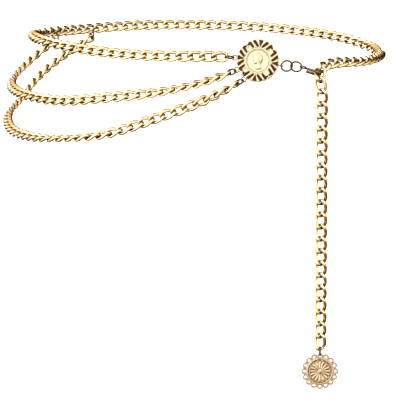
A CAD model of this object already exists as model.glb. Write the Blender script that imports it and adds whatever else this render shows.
import math

import bmesh
import bpy
import numpy as np
from mathutils import Matrix, Vector


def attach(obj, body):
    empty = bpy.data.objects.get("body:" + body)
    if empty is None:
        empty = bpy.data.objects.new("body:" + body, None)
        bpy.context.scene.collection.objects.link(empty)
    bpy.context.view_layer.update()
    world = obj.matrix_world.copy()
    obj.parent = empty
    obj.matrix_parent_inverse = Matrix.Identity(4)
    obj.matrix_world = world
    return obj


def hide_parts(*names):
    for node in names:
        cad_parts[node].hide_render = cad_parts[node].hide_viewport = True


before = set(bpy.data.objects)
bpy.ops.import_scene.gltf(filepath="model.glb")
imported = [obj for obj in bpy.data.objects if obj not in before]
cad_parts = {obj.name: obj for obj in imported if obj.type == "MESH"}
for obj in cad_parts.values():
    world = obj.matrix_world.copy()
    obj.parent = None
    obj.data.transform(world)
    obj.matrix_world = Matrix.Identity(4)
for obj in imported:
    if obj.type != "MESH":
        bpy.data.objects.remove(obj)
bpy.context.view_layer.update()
MM = 0.001


# The studio: a camera at the height of the chest and a few steps away, with a long lens, a pale
# floor that runs on behind the piece as its backdrop, and big soft lamps as for polished metal.
VIEW_AIM = Vector((-5.8, 0, -129.8)) * MM
VIEW_DISTANCE = 2.3
VIEW_RISE = math.radians(8.5)
LENS = 249.4
SENSOR = 36

camera_data = bpy.data.cameras.new("camera")
camera_data.lens = LENS
camera_data.sensor_width = SENSOR
camera_data.clip_start = 0.05
camera_data.clip_end = 60
camera = bpy.data.objects.new("camera", camera_data)
bpy.context.scene.collection.objects.link(camera)
away = Vector((0, -math.cos(VIEW_RISE), math.sin(VIEW_RISE)))
camera.location = VIEW_AIM + away * VIEW_DISTANCE
camera.rotation_euler = (-away).to_track_quat("-Z", "Y").to_euler()
bpy.context.scene.camera = camera
bpy.context.scene.view_settings.view_transform = "Standard"


class Value:
    """A socket of a shader. Sums written on it become nodes of the same shader."""

    def __init__(self, tree, socket):
        self.tree = tree
        self.socket = socket

    def node(self, kind, inputs, output=0, **settings):
        """Makes a node with its settings, fills its sockets and gives one of its outputs."""
        made = self.tree.nodes.new(kind)
        for name, setting in settings.items():
            setattr(made, name, setting)
        for name, value in inputs.items():
            if isinstance(value, Value):
                self.tree.links.new(value.socket, made.inputs[name])
            else:
                made.inputs[name].default_value = value
        return Value(self.tree, made.outputs[output])

    def math(self, operation, *values):
        return self.node("ShaderNodeMath", dict(enumerate(values)), operation=operation)

    def __add__(self, other):
        return self.math("ADD", self, other)

    def __sub__(self, other):
        return self.math("SUBTRACT", self, other)

    def __rsub__(self, other):
        return self.math("SUBTRACT", other, self)

    def __mul__(self, other):
        return self.math("MULTIPLY", self, other)

    def __pow__(self, other):
        return self.math("POWER", self, other)

    __radd__ = __add__
    __rmul__ = __mul__

    def clamp(self):
        return self.node("ShaderNodeClamp", {0: self})

    def step(self, low, high):
        """Goes smoothly from 0 to 1 as this value goes from low to high."""
        return self.node("ShaderNodeMapRange", {0: self, 1: low, 2: high},
                         interpolation_type="SMOOTHSTEP")

    def xyz(self):
        return [self.node("ShaderNodeSeparateXYZ", {0: self}, output=axis) for axis in range(3)]

    def mix(self, first, second):
        """Goes from the first colour to the second as this value goes from 0 to 1."""
        return self.node("ShaderNodeMix", {"Factor": self, 6: first, 7: second}, 2, data_type="RGBA")


def grey(level):
    return (level, level, level, 1)


def new_material(name):
    """A material with its shader and its place on the piece, ready to be worked out."""
    made = bpy.data.materials.new(name)
    made.use_nodes = True
    shader = made.node_tree.nodes["Principled BSDF"]
    start = Value(made.node_tree, None)
    place = start.node("ShaderNodeTexCoord", {}, output="Object")
    return made, shader, place


def plug(shader, **sockets):
    """Feeds sockets of the shader, with spaces in their names written as underscores."""
    for name, value in sockets.items():
        socket = shader.inputs[name.replace("_", " ")]
        if isinstance(value, Value):
            value.tree.links.new(value.socket, socket)
        else:
            socket.default_value = value


FLOOR_Z = -0.5
FLOOR_SIZE = 40
FLOOR_CELLS = 8
FLOOR_TONE = 0.9
FLOOR_ROUGH = 0.9
FLOOR_GLOW = 0.75

floor_bm = bmesh.new()
bmesh.ops.create_grid(floor_bm, x_segments=FLOOR_CELLS, y_segments=FLOOR_CELLS, size=FLOOR_SIZE / 2)
bmesh.ops.translate(floor_bm, verts=floor_bm.verts, vec=(0, 0, FLOOR_Z))
floor_mesh = bpy.data.meshes.new("floor")
floor_bm.to_mesh(floor_mesh)
floor_bm.free()
floor = bpy.data.objects.new("floor", floor_mesh)
bpy.context.scene.collection.objects.link(floor)
floor_paint, floor_shader = new_material("floor_paint")[:2]
plug(floor_shader, Base_Color=grey(FLOOR_TONE), Roughness=FLOOR_ROUGH, Emission_Color=grey(1),
     Emission_Strength=FLOOR_GLOW)
floor_mesh.materials.append(floor_paint)
floor.visible_glossy = False

# The light: a very large soft box over the left shoulder of the camera, another one at the left, a
# small and dimmer one at the right, and a dim warm tent that gives polished metal its brown sides.
SOFT_BOXES = (
    # way to its middle, light, and the cosines between which it fades out
    ((-0.38, -0.84, 0.40), 1.32, 0.24, 0.62),
    ((-0.93, 0.20, 0.30), 1.50, 0.32, 0.78),
    ((0.92, -0.30, 0.24), 0.90, 0.70, 0.90),
)
TENT_LIGHT = (0.38, 0.24, 0.09)
# How much of the tent's light is left below, how much is taken away behind, and where each sets in.
LOW_LIGHT = 0.5
LOW_FADE = (-0.7, 0.1)
BEHIND_DIM = 0.85
BEHIND_FADE = (-0.2, 0.5)

world = bpy.data.worlds.new("studio")
world.use_nodes = True
bpy.context.scene.world = world
start = Value(world.node_tree, None)
toward = start.node("ShaderNodeTexCoord", {}, output="Generated")
depth, height = toward.xyz()[1:]
tent = height.step(*LOW_FADE) * (1 - LOW_LIGHT) + LOW_LIGHT
tent = tent * (1 - depth.step(*BEHIND_FADE) * BEHIND_DIM)
glow = start.node("ShaderNodeVectorMath", {0: TENT_LIGHT, "Scale": tent}, operation="SCALE")
for box_way, box_light, fade_out, full_on in SOFT_BOXES:
    along = start.node("ShaderNodeVectorMath", {0: toward, 1: Vector(box_way).normalized()}, 1,
                       operation="DOT_PRODUCT")
    glow = start.node("ShaderNodeVectorMath", {0: glow, 1: along.step(fade_out, full_on) * box_light},
                      operation="ADD")
shown = start.node("ShaderNodeLightPath", {}, output="Is Camera Ray")
plug(world.node_tree.nodes["Background"], Color=shown.mix(glow, grey(1)), Strength=1.0)


# The curb links: ovals of round wire, bent, twisted so that they lie flat on each other, rolled a
# little broader on their sides and polished, then plated a light gold.
WIRE_D = 2.5 * MM
WIRE_SPREAD = 1.18
LINK_TWIST = math.radians(-98)
FULLNESS = 3
LINK_PITCH = 9.15 * MM
LINK_PLAY = 0.3 * MM
LINK_L = LINK_PITCH + 2 * WIRE_D + LINK_PLAY
LINK_W = 9.2 * MM
DROP_LINK_L = 15.1 * MM
DROP_LINK_W = 10.6 * MM
LINK_STEPS = 28
WIRE_SIDES = 10
# The turn over which the run of a wire is taken, the distance at which two points are one, and how
# far off a link's next neighbour is at most, as a multiple of the longest way to a nearest one.
RUN_STEP = 0.02
POINT_GAP = 1e-6
NEIGHBOUR_REACH = 1.3
GOLD_LIGHT = (0.92, 0.81, 0.56, 1)
GOLD_DEEP = (0.84, 0.64, 0.29, 1)
GOLD_GAP = (0.13, 0.042, 0.012, 1)
GOLD_EDGE = (0.48, 0.25, 0.05, 1)
GOLD_REACH = 0.0026
GOLD_ROUGH = 0.13
GOLD_TARNISH = 1.6


def polished_gold(name, light, deep, edge, gap, gap_reach, rough, tarnish=1.0):
    """Plated gold with a hand polish: small waves, fine scuffs, and brown where it can't be reached."""
    made, shader, place = new_material(name)
    tone = place.node("ShaderNodeTexNoise", {"Vector": place, "Scale": 90, "Detail": 3})
    scuffs = place.node("ShaderNodeTexNoise",
                        {"Vector": place, "Scale": 1400, "Detail": 4, "Roughness": 0.6})
    waves = place.node("ShaderNodeTexNoise", {"Vector": place, "Scale": 420, "Detail": 1})
    hidden = place.node("ShaderNodeAmbientOcclusion", {"Distance": gap_reach}, output="AO", samples=8)
    reach = (1 - hidden) ** 1.5 * tarnish
    aside = place.node("ShaderNodeLayerWeight", {"Blend": 0.5}, output="Facing")
    cloudy = ((tone - 0.5) * 2.2 + 0.5).clamp()
    sides = ((aside - 0.15) * 1.9).clamp()
    worn = scuffs * 0.12 + rough - 0.04 + reach * 0.2
    colour = reach.clamp().mix(sides.mix(cloudy.mix(light, deep), edge), gap)
    bump = place.node("ShaderNodeBump", {"Strength": 0.16, "Distance": 0.00012, "Height": waves})
    plug(shader, Base_Color=colour, Metallic=1.0, Roughness=worn, Normal=bump)
    return made


def full(v):
    """Turns a circle's sine or cosine into that of a fuller oval, nearer to a rounded box."""
    return math.copysign(abs(v) ** (2 / FULLNESS), v)


def link_mesh(length, width):
    """A ring of wire is spun, then each of its rounds is moved on to the twisted oval."""
    bm = bmesh.new()
    wire = bmesh.ops.create_circle(bm, segments=WIRE_SIDES, radius=WIRE_D / 2)["verts"]
    ring_r = width
    bmesh.ops.rotate(bm, verts=wire, matrix=Matrix.Rotation(math.pi / 2, 3, "X"))
    bmesh.ops.translate(bm, verts=wire, vec=(ring_r, 0, 0))
    bmesh.ops.spin(bm, geom=bm.verts[:] + bm.edges[:], cent=(0, 0, 0), axis=(0, 0, 1),
                   angle=math.tau, steps=LINK_STEPS, use_merge=True)

    def middle(turn):
        x, y = full(math.cos(turn)), full(math.sin(turn)) * (width - WIRE_SPREAD * WIRE_D) / 2
        twist = LINK_TWIST / 2 * x
        return Vector(((length - WIRE_D) / 2 * x, y * math.cos(twist), y * math.sin(twist)))

    for vert in bm.verts:
        turn = math.atan2(vert.co.y, vert.co.x)
        off = (vert.co.to_2d().length - ring_r) * (1 + (WIRE_SPREAD - 1) * math.sin(turn) ** 2)
        rise = vert.co.z
        run = (middle(turn + RUN_STEP) - middle(turn - RUN_STEP)).normalized()
        twist = LINK_TWIST / 2 * full(math.cos(turn))
        up = Vector((0, -math.sin(twist), math.cos(twist)))
        up = (up - up.dot(run) * run).normalized()
        vert.co = middle(turn) + off * run.cross(up) + rise * up
    bmesh.ops.recalc_face_normals(bm, faces=bm.faces)
    made = bpy.data.meshes.new("link")
    bm.to_mesh(made)
    bm.free()
    return made


def loose_pieces(node):
    """The place of each loose piece of a node, with its longest side first, from a merged copy."""
    bm = bmesh.new()
    bm.from_mesh(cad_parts[node].data)
    bmesh.ops.remove_doubles(bm, verts=bm.verts, dist=POINT_GAP)
    known, found = set(), []
    for first in bm.verts:
        if first in known:
            continue
        known.add(first)
        island = [first]
        for vert in island:
            for edge in vert.link_edges:
                other = edge.other_vert(vert)
                if other not in known:
                    known.add(other)
                    island.append(other)
        points = np.array([vert.co for vert in island])
        middle = points.mean(axis=0)
        axes = np.linalg.svd(points - middle, full_matrices=False)[2]
        axes[2] = np.cross(axes[0], axes[1])
        found.append(Matrix.Translation(middle) @ Matrix(axes.T.tolist()).to_4x4())
    bm.free()
    return found


def add_piece(bm, name, material, body, slot, *nodes):
    """Makes the mesh a smooth piece that rides on a body and stands for its nodes."""
    bmesh.ops.recalc_face_normals(bm, faces=bm.faces)
    mesh = bpy.data.meshes.new(name)
    bm.to_mesh(mesh)
    bm.free()
    mesh.shade_smooth()
    mesh.materials.append(material)
    piece = bpy.data.objects.new(name, mesh)
    bpy.context.scene.collection.objects.link(piece)
    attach(piece, body)
    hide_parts(*nodes)


def strand_route(node, start):
    """Middles of a strand's solid links in order from its start, and the places where they meet."""
    places = loose_pieces(node)
    middles = np.array([place.translation for place in places])
    apart = np.linalg.norm(middles[:, None] - middles[None], axis=2)
    near = np.sort(apart, axis=1)[:, 1].max() * NEIGHBOUR_REACH
    ends = np.flatnonzero((apart < near).sum(axis=1) == 2)
    order = [min(ends, key=lambda end: (Vector(middles[end]) - start * MM).length)]
    while len(order) < len(places):
        left = set(range(len(places))) - set(order)
        order.append(min(left, key=lambda other: apart[order[-1], other]))
    middles = middles[order]
    runs = np.array([places[k].col[0][:3] for k in order])
    half = np.linalg.norm(middles[1] - middles[0]) / 2
    first = middles[0] - half * runs[0] * np.sign(runs[0] @ (middles[1] - middles[0]))
    last = middles[-1] + half * runs[-1] * np.sign(runs[-1] @ (middles[-1] - middles[-2]))
    return middles, np.vstack([first, (middles[1:] + middles[:-1]) / 2, last])


def closer_links(node, start, leans, ring_nodes):
    """Places of links at the true spacing along a strand, whose simpler solids stand farther apart.
    The ends stay where they are, and so does each link that carries one of the rings."""
    middles, joints = strand_route(node, start)
    far = np.concatenate([[0], np.cumsum(np.linalg.norm(np.diff(joints, axis=0), axis=1))])
    halfway = (far[1:] + far[:-1]) / 2
    rings = [np.array(loose_pieces(ring)[0].translation) for ring in ring_nodes]
    kept = sorted(halfway[np.argmin(np.linalg.norm(middles - ring, axis=1))] for ring in rings)
    stops = [0] + [at + way * LINK_PITCH / 2 for at in kept for way in (-1, 1)] + [far[-1]]
    spaced = []
    for low, high in zip(stops, stops[1:]):
        spaced += list(np.linspace(low, high, max(round((high - low) / LINK_PITCH), 1) + 1)[:-1])
    spaced.append(far[-1])
    points = np.stack([np.interp(spaced, far, joints[:, axis]) for axis in range(3)], 1)
    found = []
    for k, (a, b) in enumerate(zip(points, points[1:])):
        middle, run = Vector((a + b) / 2), Vector(b - a)
        stretch = (run.length + 2 * WIRE_D + LINK_PLAY) / LINK_L
        run.normalize()
        flat = Vector((middle.x / WAIST[0] ** 2, middle.y / WAIST[1] ** 2, 0)).normalized()
        flat = (flat - flat.dot(run) * run).normalized()
        lean = math.radians(np.interp(k / (len(points) - 2), *zip(*leans)))
        side = math.cos(lean) * flat.cross(run) + math.sin(lean) * flat
        axes = Matrix((run * stretch, side, run.cross(side))).transposed().to_4x4()
        found.append(Matrix.Translation(middle) @ axes)
    return found


# Half the waist's width and depth in mm, and where each strand starts in mm.
WAIST = (144, 109)
BELT_START = Vector((90, -95, -11))
MIDDLE_START = Vector((-127, 52, -5))
LOWER_START = Vector((-98, 82, -5))
# Share of a strand's length, and how far its links lean there from lying flat on the waist, in
# degrees. The belt rolls over at both sides, and the lower swag on its last stretch up to the
# medallion.
BELT_LEANS = ((0, -27), (0.015, -30), (0.065, -64), (0.13, -72), (0.24, 34), (0.62, 34), (0.76, 141),
              (0.93, 144), (1, 190))
MIDDLE_LEANS = ((0, -46), (0.08, -40), (0.76, -40), (0.90, -78), (1, -75))
LOWER_LEANS = ((0, -46), (0.08, -42), (0.50, -42), (0.61, -86), (0.68, -88), (0.76, -36), (0.86, -24),
               (1, 84))

gold = polished_gold("polished_gold", GOLD_LIGHT, GOLD_DEEP, GOLD_EDGE, GOLD_GAP, GOLD_REACH, GOLD_ROUGH,
                     GOLD_TARNISH)
near_link = link_mesh(LINK_L, LINK_W)
drop_link = link_mesh(DROP_LINK_L, DROP_LINK_W)
STRANDS = (
    # piece, node, mesh of its links, their places
    ("belt_strand", "waist_chain", near_link,
     closer_links("waist_chain", BELT_START, BELT_LEANS, ("middle_hang_ring", "lower_hang_ring"))),
    ("middle_swag", "middle_swag_chain", near_link,
     closer_links("middle_swag_chain", MIDDLE_START, MIDDLE_LEANS, ())),
    ("lower_swag", "lower_swag_chain", near_link,
     closer_links("lower_swag_chain", LOWER_START, LOWER_LEANS, ())),
    ("drop_strand", "drop_chain", drop_link, loose_pieces("drop_chain")),
)
for piece_name, node, one_link, places in STRANDS:
    strand_bm = bmesh.new()
    for link_place in places:
        before = len(strand_bm.verts)
        strand_bm.from_mesh(one_link)
        strand_bm.verts.ensure_lookup_table()
        bmesh.ops.transform(strand_bm, matrix=link_place, verts=strand_bm.verts[before:])
    add_piece(strand_bm, piece_name, gold, "belt", "gold", node)


# Jump rings: soft wire bent round and closed, with the cut where the ends meet left showing. Each one
# stands where the node stands that it replaces.
RING_WIRE = 1.5 * MM
RING_SIDES = 12
RING_STEPS = 56
RING_CUT = math.radians(3)
RING_LIGHT = (0.17, 0.10, 0.055, 1)
RING_DEEP = (0.10, 0.055, 0.028, 1)
RING_REACH = 0.0018
RING_ROUGH = 0.2
JUMP_RINGS = (
    # node, body, outer diameter in mm, turn of the cut in degrees from the ring's own first axis
    ("clasp_ring_1", "belt", 10.2, 100),
    ("clasp_ring_2", "belt", 10.2, 250),
    ("belt_lug_ring", "belt", 8.4, 60),
    ("middle_lug_ring", "belt", 8.4, 110),
    ("lower_lug_ring", "belt", 8.4, 75),
    ("middle_hang_ring", "belt", 9.4, 95),
    ("lower_hang_ring", "belt", 9.4, 80),
    ("pendant_ring", "pendant_ring", 8.4, 90),
)
ring_gold = polished_gold("ring_gold", RING_LIGHT, RING_DEEP, GOLD_GAP, GOLD_GAP, RING_REACH, RING_ROUGH)
for node, body, outer_d, cut in JUMP_RINGS:
    bm = bmesh.new()
    wire = bmesh.ops.create_circle(bm, segments=RING_SIDES, radius=RING_WIRE / 2, cap_ends=True)["verts"]
    bmesh.ops.rotate(bm, verts=wire, matrix=Matrix.Rotation(math.pi / 2, 3, "X"))
    bmesh.ops.translate(bm, verts=wire, vec=((outer_d * MM - RING_WIRE) / 2, 0, 0))
    bmesh.ops.spin(bm, geom=bm.faces[:], cent=(0, 0, 0), axis=(0, 0, 1), angle=math.tau - RING_CUT,
                   steps=RING_STEPS)
    bmesh.ops.rotate(bm, verts=bm.verts, matrix=Matrix.Rotation(math.radians(cut), 3, "Z"))
    bmesh.ops.transform(bm, matrix=loose_pieces(node)[0], verts=bm.verts)
    add_piece(bm, node.replace("_ring", "_jump_ring"), ring_gold, body, "ring_gold", node)


# The medallion: a cast plate whose border is sunk in wedges and curls, round a coin with a beaded edge
# and a head in low relief. It is drawn face up in mm, then stood up at the front with its eyelets.
MEDALLION_AT = (39.5, -109, -3)
MEDALLION_TURN = 6
WEDGE_TURN = -10
SHEET_ROUND = 480
BORDER_ROWS = 40
COIN_ROWS = 100
SEAM_GAP = 1e-4
BORDER_R = (10.0, 16.4)
BORDER_SHARES = (0.62, 0.78)
BORDER_HALF = 0.9
BORDER_BULGE = 0.6
SUNK_DEEP = 0.95
CREST_AT = 0.62
CREST_REACH = 0.4
CREST_HIGH = 0.22
WEDGE_R = (11.0, 15.9, 16.2)
WEDGE_HALF = 1.6
CURLS = (
    # inner end and outer end of a sunk stroke, each as radius and turn, and its half widths there
    ((11.5, 9.5), (15.7, 19.5), 0.70, 1.12),
    ((11.4, 28.5), (15.2, 33.5), 0.65, 1.02),
    ((15.3, 33.5), (14.6, 41.3), 0.95, 0.55),
)
EYELETS = (172, 203, 233)
STANDING_EYELET = -12.5
EYELET_AT = 18.4
EYELET_R = 1.95
EYELET_WIRE = 0.55
EYELET_SUNK = 0.6
COIN_FRONT = 0.64
COIN_PROFILE = (
    # share of the way from the middle over the rim to the back, radius and height there
    (0, 0, 1), (COIN_FRONT, 9.05, 1), (0.67, 9.25, 1.42), (0.69, 9.5, 1.5), (0.74, 9.95, 1.5),
    (0.76, 10.2, 1.3), (0.80, 10.2, -1.3), (0.82, 9.95, -1.5), (0.86, 9.3, -1.5), (0.88, 9.1, -1),
    (1, 0, -1),
)
COIN_SUNK = 0.6
RIM_R = 9.15
BEADS = 60
BEAD_AT = 8.55
BEAD_R = 0.33
BEAD_HIGH = 0.26
HEAD = ((-0.6, 5.75), (-1.8, 5.3), (-2.65, 4.4), (-3.0, 3.5), (-3.12, 2.8), (-3.0, 2.2), (-3.3, 1.65),
        (-3.85, 1.0), (-3.85, 0.75), (-3.3, 0.5), (-3.2, 0.15), (-3.45, -0.2), (-3.2, -0.5), (-3.38, -0.8),
        (-3.08, -1.15), (-3.25, -1.7), (-2.95, -2.3), (-2.2, -2.55), (-1.2, -2.35), (-0.85, -3.3),
        (-1.1, -4.5), (-1.9, -5.4), (-2.6, -6.0), (-1.4, -6.7), (0.4, -6.9), (2.2, -6.5), (3.1, -5.9),
        (2.4, -4.8), (2.1, -3.4), (2.3, -2.0), (3.0, -1.2), (3.6, 0.0), (3.8, 1.4), (3.5, 3.0),
        (2.7, 4.5), (1.2, 5.6))
HAIR = ((-2.75, 4.55), (-2.15, 3.9), (-1.5, 2.9), (-1.1, 2.0), (-0.55, 1.75), (0.0, 0.6), (0.9, -0.5),
        (1.7, -1.9), (2.9, -2.1), (4.3, 0.0), (4.6, 2.0), (4.0, 4.5), (1.5, 6.5), (-1.2, 6.3))
KNOT = (2.95, 0.7)
LOCKS = 13
HEAD_HIGH = 0.52
HEAD_MOST = 0.88
NECK_LOW = 0.15
FACE_BUMPS = (
    # height of a bump, its middle, and its reach across and up: cheek, chin, hollow of the eye, eye,
    # brow, the folds over and under the eye, side of the nose and its crease, both lips, and mouth
    (0.10, (-1.7, 0.5), 0.8, 0.8),
    (0.08, (-2.65, -1.75), 0.45, 0.45),
    (-0.16, (-2.35, 1.75), 0.5, 0.38),
    (0.13, (-2.4, 1.72), 0.24, 0.15),
    (0.09, (-2.35, 2.4), 0.6, 0.2),
    (-0.06, (-2.3, 1.98), 0.4, 0.07),
    (-0.05, (-2.3, 1.5), 0.35, 0.07),
    (0.10, (-3.15, 0.85), 0.24, 0.24),
    (-0.08, (-2.85, 0.75), 0.12, 0.25),
    (0.07, (-2.95, -0.28), 0.4, 0.16),
    (0.07, (-2.9, -0.78), 0.36, 0.17),
    (-0.10, (-3.0, -0.52), 0.55, 0.08),
)
MEDALLION_LIGHT = (0.81, 0.78, 0.59, 1)
MEDALLION_DEEP = (0.74, 0.67, 0.45, 1)
MEDALLION_SUNK = (0.10, 0.040, 0.016, 1)
CAST_REACH = 0.0011
CAST_ROUGH = 0.24


def polar_sheet(rows, around, shape):
    """A sheet in turns round a middle: the shape gives its radius, height and sunk places."""
    bm = bmesh.new()
    bmesh.ops.create_grid(bm, x_segments=around, y_segments=rows, size=0.5)
    sunk = bm.verts.layers.float.new("sunk")
    grid = np.array([vert.co for vert in bm.verts])
    turn, share = (grid[:, 0] + 0.5) * math.tau, grid[:, 1] + 0.5
    r, height, depth = shape(turn, share)
    for vert, place, low in zip(bm.verts, np.stack([r * np.cos(turn), r * np.sin(turn), height], 1), depth):
        vert.co = place
        vert[sunk] = low
    bmesh.ops.remove_doubles(bm, verts=bm.verts, dist=SEAM_GAP)
    return bm


def add_torus(bm, mean_r, wire, place, sides=14, steps=48, sunk=0):
    """Spins a wire of the given half width and half height round its middle, and marks it as sunk."""
    known = set(bm.verts)
    verts = bmesh.ops.create_circle(bm, segments=sides, radius=1)["verts"]
    bmesh.ops.scale(bm, verts=verts, vec=(wire[0], wire[1], 1))
    bmesh.ops.rotate(bm, verts=verts, matrix=Matrix.Rotation(math.pi / 2, 3, "X"))
    bmesh.ops.translate(bm, verts=verts, vec=(mean_r, 0, 0))
    edges = list({edge for vert in verts for edge in vert.link_edges})
    bmesh.ops.spin(bm, geom=verts + edges, cent=(0, 0, 0), axis=(0, 0, 1), angle=math.tau, steps=steps,
                   use_merge=True)
    made = [vert for vert in bm.verts if vert not in known]
    bmesh.ops.transform(bm, matrix=place, verts=made)
    if sunk:
        low = bm.verts.layers.float["sunk"]
        for vert in made:
            vert[low] = sunk


def stand_up(bm, at, turn):
    """Stands a face that was drawn flat in mm upright at its place."""
    place = (Matrix.Scale(MM, 4) @ Matrix.Translation(at) @ Matrix.Rotation(math.radians(turn), 4, "Z")
             @ Matrix.Rotation(math.pi / 2, 4, "X"))
    bmesh.ops.transform(bm, matrix=place, verts=bm.verts)


def on_turn(r, degrees):
    """The place at a radius and a turn."""
    return r * np.cos(np.radians(degrees)), r * np.sin(np.radians(degrees))


def smooth(value, low, high):
    """Goes smoothly from 0 to 1 as a number goes from low to high."""
    share = np.clip((value - low) / (high - low), 0, 1)
    return share * share * (3 - 2 * share)


def bump_at(x, y, at, wide, tall):
    """A soft round or oval bump."""
    return np.exp(-((x - at[0]) / wide) ** 2 - ((y - at[1]) / tall) ** 2)


def from_stroke(x, y, a, b, wide_a, wide_b):
    """Distance to a straight stroke whose half width changes from one end to the other."""
    run = np.subtract(b, a)
    share = np.clip(((x - a[0]) * run[0] + (y - a[1]) * run[1]) / (run @ run), 0, 1)
    off = np.hypot(x - a[0] - share * run[0], y - a[1] - share * run[1])
    return off - wide_a - share * (wide_b - wide_a)


def curved(points, steps=5):
    """A closed smooth outline through chosen points."""
    p = np.array(points)
    t = np.arange(steps)[:, None] / steps
    before, after, second = np.roll(p, 1, 0), np.roll(p, -1, 0), np.roll(p, -2, 0)
    return np.concatenate([0.5 * (2 * b + (c - a) * t + (2 * a - 5 * b + 4 * c - d) * t ** 2
                                  + (3 * b - a - 3 * c + d) * t ** 3)
                           for a, b, c, d in zip(before, p, after, second)])


def inside_outline(x, y, outline):
    """How far each place lies inside the outline, negative outside."""
    least, within = np.full(x.shape, 99.0), np.zeros(x.shape, bool)
    for a, b in zip(outline, np.roll(outline, -1, 0)):
        least = np.minimum(least, from_stroke(x, y, a, b, 0, 0))
        if a[1] != b[1]:
            within ^= ((a[1] > y) != (b[1] > y)) & (x < (b[0] - a[0]) * (y - a[1]) / (b[1] - a[1]) + a[0])
    return np.where(within, least, -least)


def border_shape(turn, share):
    """The cast border, with a sunk wedge on each quarter and sunk strokes on both sides of it."""
    inner, outer = BORDER_R
    front_end, back_start = BORDER_SHARES
    wedge_start, wedge_full, wedge_end = WEDGE_R
    r = np.interp(share, (0, front_end, back_start, 1), (inner, outer, outer, inner))
    edge = np.clip((share - front_end) / (back_start - front_end), 0, 1) * math.pi
    front = share < front_end
    x, y = on_turn(r, np.abs((np.degrees(turn) - WEDGE_TURN + 45) % 90 - 45))
    wedge_wide = np.interp(r, (wedge_start, wedge_full), (0, WEDGE_HALF))
    nearest = np.maximum(np.maximum(y - wedge_wide, r - wedge_end), wedge_start - r)
    for near_end, far_end, wide_a, wide_b in CURLS:
        stroke = from_stroke(x, y, on_turn(*near_end), on_turn(*far_end), wide_a, wide_b)
        nearest = np.minimum(nearest, stroke)
    low = front * smooth(-nearest, -0.30, 0.35)
    crest = CREST_HIGH * np.exp(-((nearest - CREST_AT) / CREST_REACH) ** 2)
    crest *= front * smooth(r, 10.3, 11.2) * (1 - smooth(r, 15.5, 16.3))
    height = BORDER_HALF * np.cos(edge) - SUNK_DEEP * low + crest
    return r + BORDER_BULGE * np.sin(edge), height, low


def head_relief(x, y):
    """Height of the head over the coin, in profile with its hair bound up, and its sunk places."""
    within = inside_outline(x, y, curved(HEAD))
    pillow = np.sqrt(1 - (1 - np.clip(within / 1.5, 0, 1)) ** 2)
    neck = smooth(from_stroke(x, y, (-2.6, -2.3), (1.2, -0.2), 0, 0), 0, 0.5) * (y < 0.55 * x - 0.87)
    face = HEAD_HIGH * pillow - NECK_LOW * neck * (within > 0)
    for high, at, wide, tall in FACE_BUMPS:
        face += high * bump_at(x, y, at, wide, tall)
    covered = inside_outline(x, y, curved(HAIR))
    hair = smooth(covered, -0.05, 0.3) * (within > -0.05)
    about_knot = np.arctan2(y - KNOT[1], x - KNOT[0])
    from_knot = np.hypot(x - KNOT[0], y - KNOT[1])
    locks = np.sin(about_knot * LOCKS + 0.9 * np.sin(from_knot * 1.3))
    coils = np.sin(from_knot * 5.5 - about_knot)
    in_knot = smooth(1.55, from_knot, from_knot + 0.3)
    face += hair * (0.10 + 0.075 * (1 - in_knot) * locks * smooth(from_knot, 1.0, 2.2)) * pillow
    face += in_knot * hair * (0.14 + 0.05 * coils)
    band = np.abs(np.hypot(x + 0.6, y - 1.0) - 3.9)
    face += hair * 0.09 * np.exp(-(band / 0.17) ** 2) * (y > 1.2)
    ear = np.hypot((x - 0.25) / 0.42, (y - 0.75) / 0.62)
    face += 0.12 * np.exp(-((ear - 0.8) / 0.35) ** 2)
    outline = np.exp(-(np.clip(-within, 0, 9) / 0.3) ** 2) * (within < 0)
    low = 0.5 * outline + 0.30 * hair * smooth(-locks, 0.2, 1.0)
    return np.clip(face, 0, HEAD_MOST) * (within > 0), low


def coin_shape(turn, share):
    """The coin with its raised rim, a ring of beads inside it and the head."""
    shares, radii, heights = zip(*COIN_PROFILE)
    r, height = np.interp(share, shares, radii), np.interp(share, shares, heights)
    front = share < COIN_FRONT
    bead_turn = (turn * BEADS / math.tau + 0.5) % 1 - 0.5
    bead = np.hypot(bead_turn * math.tau * BEAD_AT / BEADS, r - BEAD_AT)
    height += front * BEAD_HIGH * np.sqrt(np.clip(1 - (bead / BEAD_R) ** 2, 0, 1))
    face, low = head_relief(r * np.cos(turn), r * np.sin(turn))
    low += 0.35 * np.exp(-((bead - 0.36) / 0.1) ** 2) + 0.5 * (np.abs(r - RIM_R) < 0.12)
    return r, height + front * face, front * np.clip(low, 0, COIN_SUNK)


def cast_gold(name, light, deep, sunk_colour):
    """Cast and plated gold: a little duller than the links, with dark patina in its sunk places."""
    made, shader, place = new_material(name)
    tone = place.node("ShaderNodeTexNoise", {"Vector": place, "Scale": 260, "Detail": 4})
    grain = place.node("ShaderNodeTexNoise",
                       {"Vector": place, "Scale": 2600, "Detail": 3, "Roughness": 0.6})
    low = place.node("ShaderNodeAttribute", {}, output=2, attribute_name="sunk")
    hidden = place.node("ShaderNodeAmbientOcclusion", {"Distance": CAST_REACH}, output="AO", samples=8)
    aside = place.node("ShaderNodeLayerWeight", {"Blend": 0.5}, output="Facing")
    patina = (1 - hidden) ** 1.6 * 0.8 + low * 1.05 + (tone - 0.5) * 0.25 * low
    patina = (patina + ((aside - 0.35) * 1.6).clamp()).clamp()
    cloudy = ((tone - 0.5) * 2.0 + 0.5).clamp()
    worn = grain * 0.14 + patina * 0.25 + CAST_ROUGH - 0.07
    colour = patina.mix(cloudy.mix(light, deep), sunk_colour)
    bump = place.node("ShaderNodeBump", {"Strength": 0.25, "Distance": 0.00005, "Height": grain})
    plug(shader, Base_Color=colour, Metallic=1.0, Roughness=worn, Normal=bump)
    return made


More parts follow.
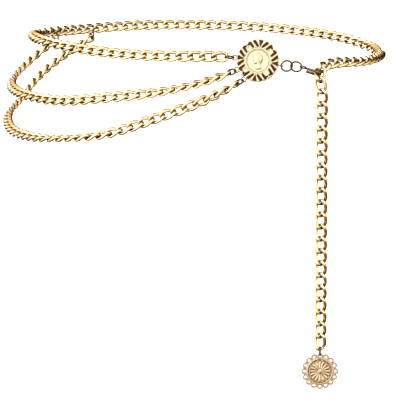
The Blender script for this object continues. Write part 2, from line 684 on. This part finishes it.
medallion_bm = polar_sheet(BORDER_ROWS, SHEET_ROUND, border_shape)
coin_bm = polar_sheet(COIN_ROWS, SHEET_ROUND, coin_shape)
coin_mesh = bpy.data.meshes.new("coin")
coin_bm.to_mesh(coin_mesh)
coin_bm.free()
medallion_bm.from_mesh(coin_mesh)
bpy.data.meshes.remove(coin_mesh)
for turn in EYELETS + (STANDING_EYELET,):
    out = Matrix.Rotation(math.radians(turn), 4, "Z") @ Matrix.Translation((EYELET_AT, 0, 0))
    if turn == STANDING_EYELET:
        out = out @ Matrix.Rotation(math.pi / 2, 4, "X")
    add_torus(medallion_bm, EYELET_R, (EYELET_WIRE, EYELET_WIRE), out, sunk=EYELET_SUNK)
stand_up(medallion_bm, MEDALLION_AT, MEDALLION_TURN)
medallion_gold = cast_gold("medallion_gold", MEDALLION_LIGHT, MEDALLION_DEEP, MEDALLION_SUNK)
add_piece(medallion_bm, "coin_medallion", medallion_gold, "belt", "medallion_gold", "medallion")


# The hook: a bar of rounded section, bent back on itself to a ball end, with a round eye for its ring.
# It is drawn in mm on its own run and back directions, like a letter J that lies down.
HOOK_AT = Vector((75.1, -105.26, -8.54))
HOOK_WAY = Vector((0.9, 0.336, -0.325))
HOOK_ROLL = math.radians(-19)
HOOK_L = 18.1
HOOK_BAR = 2.0
HOOK_THROAT = 4.6
HOOK_ARM = 6.5
HOOK_EYE_R = 2.3
HOOK_EYE_WIRE = 0.6
HOOK_FULLNESS = 3
HOOK_SIDES = 24
HOOK_STEPS = 90
SHAFT_INSET = 0.2
NECK_L = 5
NECK_SHARE = 0.86
BALL_R = 1.25
CLASP_LIGHT = (0.34, 0.20, 0.13, 1)
CLASP_DEEP = (0.23, 0.11, 0.065, 1)
CLASP_GAP = (0.06, 0.022, 0.012, 1)

bend_r = (HOOK_THROAT + HOOK_BAR) / 2
bend_x = HOOK_L - HOOK_BAR - HOOK_THROAT / 2
shaft_x = HOOK_EYE_R + SHAFT_INSET
bend_start = bend_x - shaft_x
bend_end = bend_start + math.pi * bend_r
hook_length = bend_end + HOOK_ARM + BALL_R
hook_bm = bmesh.new()
bmesh.ops.create_grid(hook_bm, x_segments=HOOK_SIDES, y_segments=HOOK_STEPS, size=0.5)
for vert in hook_bm.verts:
    turn, along = (vert.co.x + 0.5) * math.tau, (vert.co.y + 0.5) * hook_length
    bend = min(max(along - bend_start, 0), math.pi * bend_r) / bend_r
    middle = Vector((bend_x + bend_r * math.sin(bend), bend_r - bend_r * math.cos(bend), 0))
    run = Vector((math.cos(bend), math.sin(bend), 0))
    middle += run * (min(along - bend_start, 0) + max(along - bend_end, 0))
    to_ball = (along - hook_length + BALL_R) / BALL_R
    thick = HOOK_BAR / 2 * (NECK_SHARE + (1 - NECK_SHARE) * min(along / NECK_L, 1))
    if to_ball > -1:
        thick = max(thick * (to_ball < 0), BALL_R * math.sqrt(max(1 - to_ball ** 2, 0)))
    side, rise = math.cos(turn), math.sin(turn)
    if to_ball < -1:
        thick /= (abs(side) ** HOOK_FULLNESS + abs(rise) ** HOOK_FULLNESS) ** (1 / HOOK_FULLNESS)
    vert.co = middle + thick * (side * Vector((-run.y, run.x, 0)) + rise * Vector((0, 0, 1)))
bmesh.ops.remove_doubles(hook_bm, verts=hook_bm.verts, dist=SEAM_GAP)
add_torus(hook_bm, HOOK_EYE_R, (HOOK_EYE_WIRE, HOOK_EYE_WIRE), Matrix.Identity(4))
hook_run = HOOK_WAY.normalized()
hook_level = Vector((0, 0, 1)).cross(hook_run).normalized()
hook_back = math.cos(HOOK_ROLL) * hook_level + math.sin(HOOK_ROLL) * hook_run.cross(hook_level)
hook_axes = Matrix((hook_run, hook_back, hook_run.cross(hook_back))).transposed().to_4x4()
bmesh.ops.transform(hook_bm, matrix=Matrix.Scale(MM, 4) @ Matrix.Translation(HOOK_AT) @ hook_axes,
                    verts=hook_bm.verts)
clasp_gold = polished_gold("clasp_gold", CLASP_LIGHT, CLASP_DEEP, CLASP_GAP, CLASP_GAP, RING_REACH,
                           RING_ROUGH)
add_piece(hook_bm, "hook", clasp_gold, "belt", "clasp_gold", "hook_clasp")


# The pendant: a cast disc with a sun of sixteen rays and petals in a raised ring, edged with sixteen
# loops that are open right through. It hangs by the top loop, in a pinker plating than the chain's.
PENDANT_AT = (90.064, -102.232, -252.97)
LOOPS = 16
LOOP_AT = 12.25
LOOP_R = 1.8
LOOP_WIRE = (0.8, 0.85)
LOOP_SIDES = 12
LOOP_STEPS = 32
LOOP_SUNK = 0.28
DISC_R = 11.2
DISC_HALF = 0.8
DISC_SHARES = (0.70, 0.78)
DISC_ROWS = 72
DISC_ROUND = 320
SCALLOP = 0.22
SUN_RING_R = 10.05
SUN_RING_HALF = 0.5
SUN_RING_HIGH = 0.6
RAY_TIP = 8.9
RAY_HALF = ((0, 0.25), (1, 0.3), (7.0, 1.25), (RAY_TIP, 0.02))
RAY_HIGH = 0.55
PETAL_L = 1.7
PETAL_HALF = 0.5
PETAL_HIGH = 0.42
BOSS_R = 1.9
BOSS_HIGH = 0.85
PENDANT_LIGHT = (0.68, 0.58, 0.41, 1)
PENDANT_DEEP = (0.50, 0.39, 0.24, 1)
PENDANT_SUNK = (0.20, 0.12, 0.055, 1)


def disc_shape(turn, share):
    """The disc with its scalloped edge, and on its front the sun, the petals and their ring."""
    stops = (0, *DISC_SHARES, 1)
    r = np.interp(share, stops, (0, 1, 1, 0)) * (DISC_R - SCALLOP * np.cos(LOOPS * turn))
    height = np.interp(share, stops, (DISC_HALF, DISC_HALF, -DISC_HALF, -DISC_HALF))
    front = share < DISC_SHARES[0]
    ring = np.clip(1 - ((r - SUN_RING_R) / SUN_RING_HALF) ** 2, 0, 1)
    between = np.abs((turn * LOOPS / math.tau + 0.5) % 1 - 0.5)
    ray_wide = np.interp(r, *zip(*RAY_HALF))
    ray = np.clip(1 - between * math.tau / LOOPS * r / ray_wide, 0, 1) ** 0.7 * (r < RAY_TIP)
    petal_r = RAY_TIP - PETAL_L * (1 - 2 * between)
    petal = np.clip(1 - ((r - petal_r) / PETAL_HALF) ** 2, 0, 1)
    boss = np.clip(1 - (r / BOSS_R) ** 2, 0, 1)
    rise = np.maximum.reduce([SUN_RING_HIGH * np.sqrt(ring), RAY_HIGH * ray, PETAL_HIGH * petal,
                              BOSS_HIGH * np.sqrt(boss)])
    low = np.clip(1 - rise / 0.25, 0, 1) * (0.45 + 0.4 * (r > RAY_TIP - 1.5))
    return r, height + front * rise, front * low * (r < DISC_R - 0.5)


pendant_bm = polar_sheet(DISC_ROWS, DISC_ROUND, disc_shape)
for loop in range(LOOPS):
    out = Matrix.Rotation(math.tau * (loop / LOOPS + 0.25), 4, "Z") @ Matrix.Translation((LOOP_AT, 0, 0))
    add_torus(pendant_bm, LOOP_R, LOOP_WIRE, out, sides=LOOP_SIDES, steps=LOOP_STEPS, sunk=LOOP_SUNK)
stand_up(pendant_bm, PENDANT_AT, 0)
rose_gold = cast_gold("rose_gold", PENDANT_LIGHT, PENDANT_DEEP, PENDANT_SUNK)
add_piece(pendant_bm, "sun_pendant", rose_gold, "pendant", "rose_gold", "pendant")
